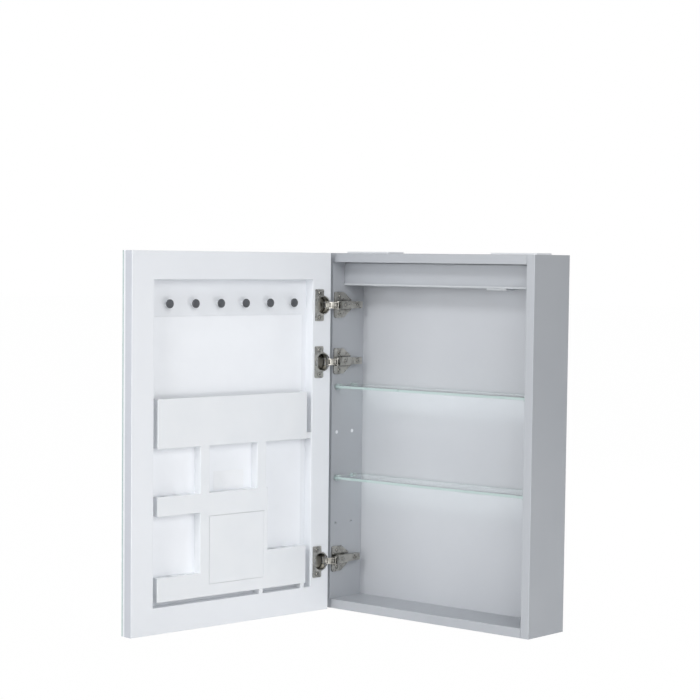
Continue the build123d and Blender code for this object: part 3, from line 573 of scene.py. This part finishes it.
def upright_sheet(low, high):
    """A flat face at the inner side of the door, from its lowest to its highest corner."""
    shape = bmesh.new()
    bmesh.ops.create_grid(shape, x_segments=1, y_segments=1, size=0.5)
    upright = Matrix.Rotation(-math.pi / 2, 3, "X")
    bmesh.ops.rotate(shape, verts=shape.verts, cent=(0, 0, 0), matrix=upright)
    bmesh.ops.scale(shape, vec=(high.x - low.x, 1, high.z - low.z), verts=shape.verts)
    middle = ((low.x + high.x) / 2, high.y, (low.z + high.z) / 2)
    bmesh.ops.translate(shape, vec=middle, verts=shape.verts)
    return shape


def score(shape, faces, axis, at):
    """Cut some faces along a plane square to an axis."""
    normal = Vector([float(i == axis) for i in range(3)])
    bmesh.ops.bisect_plane(shape, geom=with_rims(faces), dist=WELD, plane_co=normal * at, plane_no=normal)


SAME_WAY = 0.99


def faces_in(shape, low, high, normal=None):
    """Faces whose middle is between two corners, and which look the given way."""
    found = []
    for face in shape.faces:
        middle = face.calc_center_median()
        if all(low[i] - WELD < middle[i] < high[i] + WELD for i in range(3)):
            if normal is None or face.normal.dot(normal) > SAME_WAY:
                found.append(face)
    return found


def thicken(shape, depth):
    """Give a flat cut-out sheet its depth, away from the room."""
    draw_out(shape, shape.faces[:], (0, -depth, 0))
    bmesh.ops.recalc_face_normals(shape, faces=shape.faces[:])


BORE_SQUARE = 0.8
BORE_CUTS = 6


def bore(shape, centre, normal, axes, radius, depth, room):
    """A round blind hole in a flat face: a square is cut out round the centre, rounded and pushed in."""
    half = BORE_SQUARE * radius
    reach = Vector((room, room, room))
    for axis in axes:
        for at in (centre[axis] - half, centre[axis] + half):
            score(shape, faces_in(shape, centre - reach, centre + reach, normal), axis, at)
    tight = Vector((half, half, half)) / 2
    square = faces_in(shape, centre - tight, centre + tight, normal)[0]
    bmesh.ops.bisect_edges(shape, edges=square.edges[:], cuts=BORE_CUTS)
    square = faces_in(shape, centre - tight, centre + tight, normal)[0]
    for vert in square.verts:
        vert.co = centre + (vert.co - centre).normalized() * radius
    pushed = bmesh.ops.extrude_discrete_faces(shape, faces=[square])["faces"][0]
    bmesh.ops.translate(shape, vec=-normal * depth, verts=pushed.verts[:])


INWARD = Vector((0, 1, 0))
UPWARD = Vector((0, 0, 1))
low, high = door_span("door_stile_hinge", "door_stile_free", "door_rail_top", "door_rail_bottom")
window_low = Vector((door_span("door_stile_hinge")[1].x, high.y, door_span("door_rail_bottom")[1].z))
window_high = Vector((door_span("door_stile_free")[0].x, high.y, door_span("door_rail_top")[0].z))
shape = upright_sheet(low, high)
for corner in (window_low, window_high):
    for axis in (0, 2):
        score(shape, shape.faces[:], axis, corner[axis])
bmesh.ops.delete(shape, geom=faces_in(shape, window_low, window_high), context="FACES")
thicken(shape, high.y - low.y)
for level in ("top", "middle", "bottom"):
    cup_low, cup_high = door_span("hinge_cup_" + level)
    centre = Vector((cup_low.x + CUP_RIM_R, high.y, (cup_low.z + cup_high.z) / 2))
    bore(shape, centre, INWARD, (0, 2), CUP_BORE_R, CUP_BORE_DEPTH, CUP_SCORE_ROOM)
ease(shape, FRAME_ARRIS, FRAME_LEAST, steps=3,
     chosen=lambda edge: min(vert.co.y for vert in edge.verts) > high.y - WELD)
# Faces on the frame's outer edges take the darker grey: painted shade.
for face in shape.faces:
    middle = face.calc_center_median()
    past = (middle.x - low.x, high.x - middle.x, middle.z - low.z, high.z - middle.z)
    face.material_index = 1 if min(past) < WELD else 0
shape.transform(DOOR_TURN)
door_lacquer = finish("door_lacquer", DOOR_WHITE, DOOR_WHITE_DEEP, cloud=4.0, gloss=(0.36, 0.44),
                      grain=700.0, relief=0.05)
rim_painted_shade = finish("door_rim_painted_shade", DOOR_RIM_SHADE, DOOR_RIM_SHADE_DEEP, cloud=4.0, gloss=(0.36, 0.44),
                     grain=700.0, relief=0.05)
door_frame = piece_from(shape, "door_frame")
fit(door_frame, door_lacquer, "door", "door_board", "door_stile_hinge", "door_stile_free",
    "door_rail_top", "door_rail_bottom")
door_frame.data.materials.append(rim_painted_shade)

# Backing board and mirror.
# A thin white board closes the frame; the mirror is 4 mm float glass, silvered behind, with ground edges.
BACKING_ARRIS = 0.3 * MM
MIRROR_ARRIS = 0.8 * MM
SILVER = (0.86, 0.89, 0.885)
SILVER_DEEP = (0.85, 0.885, 0.88)
backing = eased_copy("door_backing", "door_back_board", BACKING_ARRIS)
fit(backing, door_lacquer, "door", "door_board", "door_back_board")
shape = block(*door_span("mirror_glass"))
ease(shape, MIRROR_ARRIS, least=0)
for face in shape.faces:
    face.material_index = 0 if face.normal.y < -SQUARELY else 1
shape.transform(DOOR_TURN)
mirror = piece_from(shape, "mirror")
silver = finish("silvered_glass", SILVER, SILVER_DEEP, cloud=3.0, gloss=(0.015, 0.03), grain=30.0,
                relief=0.0, metallic=1.0)
fit(mirror, silver, "door", "mirror", "mirror_glass")
mirror.data.materials.append(ground_edge)

# Hinge cups, their pins and their screws.
# Deep-drawn nickel cups pressed into the bores, each on a winged flange with two pan-head screws.
for level in ("top", "middle", "bottom"):
    cup = eased_copy("nickel_cup_" + level, "hinge_cup_" + level, SHEAR_EDGE, SHEAR_LEAST)
    fit(cup, nickel, "door", "nickel_steel", "hinge_cup_" + level)
rivets = eased_copy("cup_rivets", "cup_pins", SHEAR_EDGE, RIVET_LEAST)
fit(rivets, nickel, "door", "nickel_steel", "cup_pins")
spans = solids_of("cup_screws", SQUARE_ON)
places = [DOOR_TURN @ Matrix.Translation(((low.x + high.x) / 2, high.y - HEAD_H, (low.z + high.z) / 2))
          @ FACE_BACK for low, high in spans]
length = spans[0][1].y - spans[0][0].y - HEAD_H
screws = piece_from(repeated(crosshead(HEAD_R, HEAD_H, SHANK_R, length), places), "nickel_cup_screws")
fit(screws, nickel, "door", "nickel_steel", "cup_screws")

# Pegs.
# Six white turned stems, each with a dark grey moulded cap that is slightly dished.
CAP_GREY = (0.085, 0.09, 0.10)
CAP_GREY_DEEP = (0.068, 0.073, 0.08)
PEG_STEPS = 36
# From the foot to the face, as shares of the radius and of the height.
STEM_PROFILE = ((1.0, 0.0), (1.0, 1.0))
CAP_PROFILE = ((0.95, 0.0), (1.0, 0.12), (1.0, 0.75), (0.96, 0.93), (0.88, 1.0), (0.78, 0.95), (0.7, 0.8))
cap_grey = finish("cap_grey", CAP_GREY, CAP_GREY_DEEP, cloud=150.0, gloss=(0.45, 0.6), grain=2500.0,
                  relief=0.15)
for node, name, profile, material, slot in (
        ("peg_stems", "peg_posts", STEM_PROFILE, white_plastic, "white_plastic"),
        ("peg_caps", "peg_discs", CAP_PROFILE, cap_grey, "dark_caps")):
    spans = solids_of(node, SQUARE_ON)
    low, high = spans[0]
    radius, tall = (high.x - low.x) / 2, high.y - low.y
    points = [(0, 0)] + [(across * radius, up * tall) for across, up in profile]
    points.append((0, points[-1][1]))
    places = [DOOR_TURN @ Matrix.Translation(((low.x + high.x) / 2, low.y, (low.z + high.z) / 2))
              @ FACE_BACK for low, high in spans]
    pegs = piece_from(repeated(turned(points, PEG_STEPS), places), name)
    fit(pegs, material, "door", slot, node)

# Organiser.
# One white moulding with pockets, posts and open bays, on a thin back sheet with two feet.
# Small fillets run round every bay; the lids of three pockets are pierced for brushes.
POST_W = 22 * MM
POST_GAP = 4 * MM
WALL = 2 * MM
BACK_WALL = 0.4 * MM
SEAT_GAP = 0.5 * MM
BRUSH_HOLE_R = 6 * MM
BRUSH_HOLE_DEPTH = 14 * MM
BRUSH_SCORE_ROOM = 80 * MM
TRIPLE_EDGE = 20 * MM
PAIR_EDGE = 35 * MM
LEDGE_H = 12 * MM
FOOT_W = 9 * MM
FOOT_IN = 3.5 * MM
MOULD_FILLET = 0.9 * MM
LID_ARRIS = 0.4 * MM
LID_LEAST = 1 * MM
SHEET_ARRIS = 0.4 * MM
SHEET_WHITE = (0.892, 0.913, 0.948)
SHEET_WHITE_DEEP = (0.872, 0.892, 0.928)
LABEL_WHITE = (0.865, 0.88, 0.905)
LABEL_WHITE_DEEP = (0.85, 0.865, 0.89)
wide, small, corner, column, cover = (door_span(name) for name in (
    "wide_pocket", "small_pocket", "corner_pocket", "column_pocket", "access_cover"))
sheet_low = Vector((column[0].x, wide[0].y, column[0].z))
sheet_high = Vector((corner[1].x, wide[1].y, wide[1].z))
inner_post = column[1].x + POST_GAP
outer_post = corner[0].x - POST_W
bays = [(column[0].x, small[0].x, column[1].z, wide[0].z),
        (small[0].x, inner_post, small[1].z, wide[0].z),
        (inner_post + POST_W, outer_post, small[1].z, wide[0].z),
        (corner[0].x, corner[1].x, small[1].z, wide[0].z),
        (corner[0].x, corner[1].x, corner[1].z, small[0].z)]
shape = upright_sheet(sheet_low, sheet_high)
seat_low = Vector((cover[0].x - SEAT_GAP, sheet_high.y, cover[0].z - SEAT_GAP))
seat_high = Vector((cover[1].x + SEAT_GAP, sheet_high.y, cover[1].z + SEAT_GAP))
for left, right, bottom, top in bays + [(seat_low.x, seat_high.x, seat_low.z, seat_high.z)]:
    for axis, at in ((0, left), (0, right), (2, bottom), (2, top)):
        score(shape, shape.faces[:], axis, at)
for left, right, bottom, top in bays:
    open_faces = faces_in(shape, Vector((left, sheet_low.y, bottom)), Vector((right, sheet_high.y, top)))
    bmesh.ops.delete(shape, geom=open_faces, context="FACES")
thicken(shape, sheet_high.y - sheet_low.y)

# The wide pocket is open at the top.
mouth_low = Vector((sheet_low.x, sheet_low.y, sheet_high.z))
for axis, at in ((0, sheet_low.x + WALL), (0, sheet_high.x - WALL),
                 (1, sheet_low.y + BACK_WALL), (1, sheet_high.y - WALL)):
    score(shape, faces_in(shape, mouth_low, sheet_high, UPWARD), axis, at)
mouth = faces_in(shape, mouth_low + Vector((WALL, BACK_WALL, 0)), sheet_high - Vector((WALL, WALL, 0)),
                 UPWARD)
sink(shape, mouth, (0, 0, wide[0].z + WALL - wide[1].z))

# The square cover lies flush in a shallow seat.
seat = faces_in(shape, seat_low, seat_high, INWARD)
sink(shape, seat, (0, -WALL, 0))


def takes_fillet(edge):
    """Edges in front of the back face, but for those one wall in, which are in the seat and the mouth."""
    depths = [vert.co.y for vert in edge.verts]
    one_wall_in = sheet_high.y - WALL
    return max(depths) > sheet_low.y + WALL / 2 and abs(sum(depths) / 2 - one_wall_in) > WELD


# Fillets first, then the brush holes, which keep a crisp rim.
ease(shape, MOULD_FILLET, LEAST_ARRIS, steps=3, chosen=takes_fillet)
middle_y = (sheet_low.y + sheet_high.y - WALL) / 2
for left, right, top, count, end in ((corner[0].x, corner[1].x, small[1].z, 3, TRIPLE_EDGE),
                                     (corner[0].x, corner[1].x, corner[1].z, 2, PAIR_EDGE),
                                     (column[0].x, column[1].x, column[1].z, 3, TRIPLE_EDGE)):
    for i in range(count):
        x = left + end + (right - left - 2 * end) * i / (count - 1)
        bore(shape, Vector((x, middle_y, top)), UPWARD, (0, 1), BRUSH_HOLE_R, BRUSH_HOLE_DEPTH,
             BRUSH_SCORE_ROOM)

# A ledge bears on the hinge side of the frame, and two feet stand on the lower rail.
foot_z = door_span("door_rail_bottom")[1].z
ledge = block(Vector((wide[0].x, sheet_high.y - 2 * WALL, wide[0].z)),
              Vector((column[0].x + WALL, sheet_high.y - WALL, wide[0].z + LEDGE_H)))
feet = [block(Vector((x, sheet_low.y, foot_z)),
              Vector((x + FOOT_W, sheet_high.y - WALL / 2, column[0].z + WALL / 2)))
        for x in (column[0].x + FOOT_IN, cover[0].x + SEAT_GAP)]
for extra in [ledge] + feet:
    ease(extra, MOULD_FILLET / 3, LEAST_ARRIS)
    join_to(shape, extra)
shape.transform(DOOR_TURN)
moulding = piece_from(shape, "organiser_moulding")
fit(moulding, white_plastic, "door", "white_plastic", "wide_pocket", "small_pocket", "corner_pocket",
    "column_pocket", "organiser_posts", "centre_housing")
back_sheet = eased_copy("organiser_back", "organiser_panel", SHEET_ARRIS)
sheet_plastic = finish("sheet_plastic", SHEET_WHITE, SHEET_WHITE_DEEP, cloud=14.0, gloss=(0.38, 0.48),
                       grain=1100.0, relief=0.08)
fit(back_sheet, sheet_plastic, "door", "white_plastic", "organiser_panel")
shape = block(*cover)
ease(shape, LID_ARRIS, LID_LEAST)
shape.transform(DOOR_TURN)
lid = piece_from(shape, "battery_lid")
fit(lid, white_plastic, "door", "white_plastic", "access_cover")
bare = finish("bare_label", LABEL_WHITE, LABEL_WHITE_DEEP, cloud=30.0, gloss=(0.5, 0.6), grain=900.0,
              relief=0.05)
dress("label_plate", bare)

# Floor, light and camera.
# A pale floor well below the cabinet, which hangs free, and six soft lamps in a dim, cool room:
# two on the right, two in front, one near the floor and one behind. The camera sees floor and room white.
FLOOR_Z = -0.80
FLOOR_SIZE = 60.0
FLOOR_WHITE = (0.88, 0.88, 0.88, 1.0)
FLOOR_SEEN = 0.995
FLOOR_ROUGH = 0.9
floor_shape = bmesh.new()
bmesh.ops.create_grid(floor_shape, x_segments=1, y_segments=1, size=FLOOR_SIZE / 2)
bmesh.ops.translate(floor_shape, vec=(0, 0, FLOOR_Z), verts=floor_shape.verts)
floor = piece_from(floor_shape, "floor")
floor_paint = bpy.data.materials.new("floor_paint")
floor_paint.use_nodes = True
tree = floor_paint.node_tree
diffuse = tree.nodes["Principled BSDF"]
diffuse.inputs["Base Color"].default_value = FLOOR_WHITE
diffuse.inputs["Roughness"].default_value = FLOOR_ROUGH
bright = tree.nodes.new("ShaderNodeEmission")
rays = tree.nodes.new("ShaderNodeLightPath")
share = tree.nodes.new("ShaderNodeMath")
share.operation = "MULTIPLY"
share.inputs[1].default_value = FLOOR_SEEN
mix = tree.nodes.new("ShaderNodeMixShader")
tree.links.new(rays.outputs["Is Camera Ray"], share.inputs[0])
tree.links.new(share.outputs["Value"], mix.inputs["Fac"])
tree.links.new(diffuse.outputs["BSDF"], mix.inputs[1])
tree.links.new(bright.outputs["Emission"], mix.inputs[2])
tree.links.new(mix.outputs["Shader"], tree.nodes["Material Output"].inputs["Surface"])
floor.data.materials.append(floor_paint)

WORLD_LIGHT = 0.12
ROOM_COOL = (0.97, 0.985, 1.0, 1.0)
ROOM_SEEN = (1.0, 1.0, 1.0, 1.0)
world = bpy.data.worlds.new("studio")
bpy.context.scene.world = world
world.use_nodes = True
tree = world.node_tree
ambient = tree.nodes["Background"]
ambient.inputs["Color"].default_value = ROOM_COOL
ambient.inputs["Strength"].default_value = WORLD_LIGHT
seen = tree.nodes.new("ShaderNodeBackground")
seen.inputs["Color"].default_value = ROOM_SEEN
rays = tree.nodes.new("ShaderNodeLightPath")
either = tree.nodes.new("ShaderNodeMath")
either.operation = "MAXIMUM"
any_of = tree.nodes.new("ShaderNodeMath")
any_of.operation = "MAXIMUM"
mix = tree.nodes.new("ShaderNodeMixShader")
tree.links.new(rays.outputs["Is Camera Ray"], either.inputs[0])
tree.links.new(rays.outputs["Is Glossy Ray"], either.inputs[1])
tree.links.new(either.outputs["Value"], any_of.inputs[0])
tree.links.new(rays.outputs["Is Transmission Ray"], any_of.inputs[1])
tree.links.new(any_of.outputs["Value"], mix.inputs["Fac"])
tree.links.new(ambient.outputs["Background"], mix.inputs[1])
tree.links.new(seen.outputs["Background"], mix.inputs[2])
tree.links.new(mix.outputs["Shader"], tree.nodes["World Output"].inputs["Surface"])


def softbox(name, place, aim, size, power):
    """A square soft lamp at a place, turned to a point."""
    lamp = bpy.data.lights.new(name, "AREA")
    lamp.size = size
    lamp.energy = power
    holder = bpy.data.objects.new(name, lamp)
    holder.location = place
    holder.rotation_euler = (Vector(aim) - Vector(place)).to_track_quat("-Z", "Y").to_euler()
    bpy.context.scene.collection.objects.link(holder)


KEY_POWER = 8.0
SIDE_POWER = 62.0
FRONT_POWER = 45.0
FILL_POWER = 76.0
LOW_POWER = 4.0
REAR_POWER = 110.0
softbox("key_lamp", place=(3.2, 0.5, 2.2), aim=(0.0, -0.3, -0.2), size=1.4, power=KEY_POWER)
softbox("side_lamp", place=(3.0, -1.8, 1.2), aim=(0.0, -0.3, -0.3), size=2.4, power=SIDE_POWER)
softbox("front_lamp", place=(0.3, -3.6, 2.4), aim=(0.0, 0.0, -0.3), size=0.9, power=FRONT_POWER)
softbox("fill_lamp", place=(-0.4, -4.2, -0.1), aim=(0.0, 0.0, -0.3), size=2.4, power=FILL_POWER)
softbox("rear_lamp", place=(-1.2, 3.6, 1.6), aim=(0.0, 0.0, -0.3), size=2.4, power=REAR_POWER)
softbox("low_lamp", place=(1.2, 0.0, -0.72), aim=(0.25, -0.05, -0.55), size=0.5, power=LOW_POWER)

CAMERA_PLACE = (2.3652, -3.0707, 0.0330)
CAMERA_YAW = math.radians(40.741)
CAMERA_PITCH = math.radians(4.005)
CAMERA_ROLL = math.radians(0.645)
IMAGE_PX = 700
FOCAL_PX = 2009.6
SENSOR_MM = 36.0
AXIS_BELOW_CENTRE_PX = 50.0
lens = bpy.data.cameras.new("camera")
lens.sensor_width = SENSOR_MM
lens.lens = lens.sensor_width * FOCAL_PX / IMAGE_PX
lens.shift_y = AXIS_BELOW_CENTRE_PX / IMAGE_PX
camera = bpy.data.objects.new("camera", lens)
camera.matrix_world = (Matrix.Translation(CAMERA_PLACE) @ Matrix.Rotation(CAMERA_YAW, 4, "Z")
                       @ Matrix.Rotation(math.pi / 2 - CAMERA_PITCH, 4, "X")
                       @ Matrix.Rotation(CAMERA_ROLL, 4, "Z"))
bpy.context.scene.collection.objects.link(camera)
bpy.context.scene.camera = camera
bpy.context.scene.view_settings.view_transform = "Standard"

bpy.context.view_layer.update()
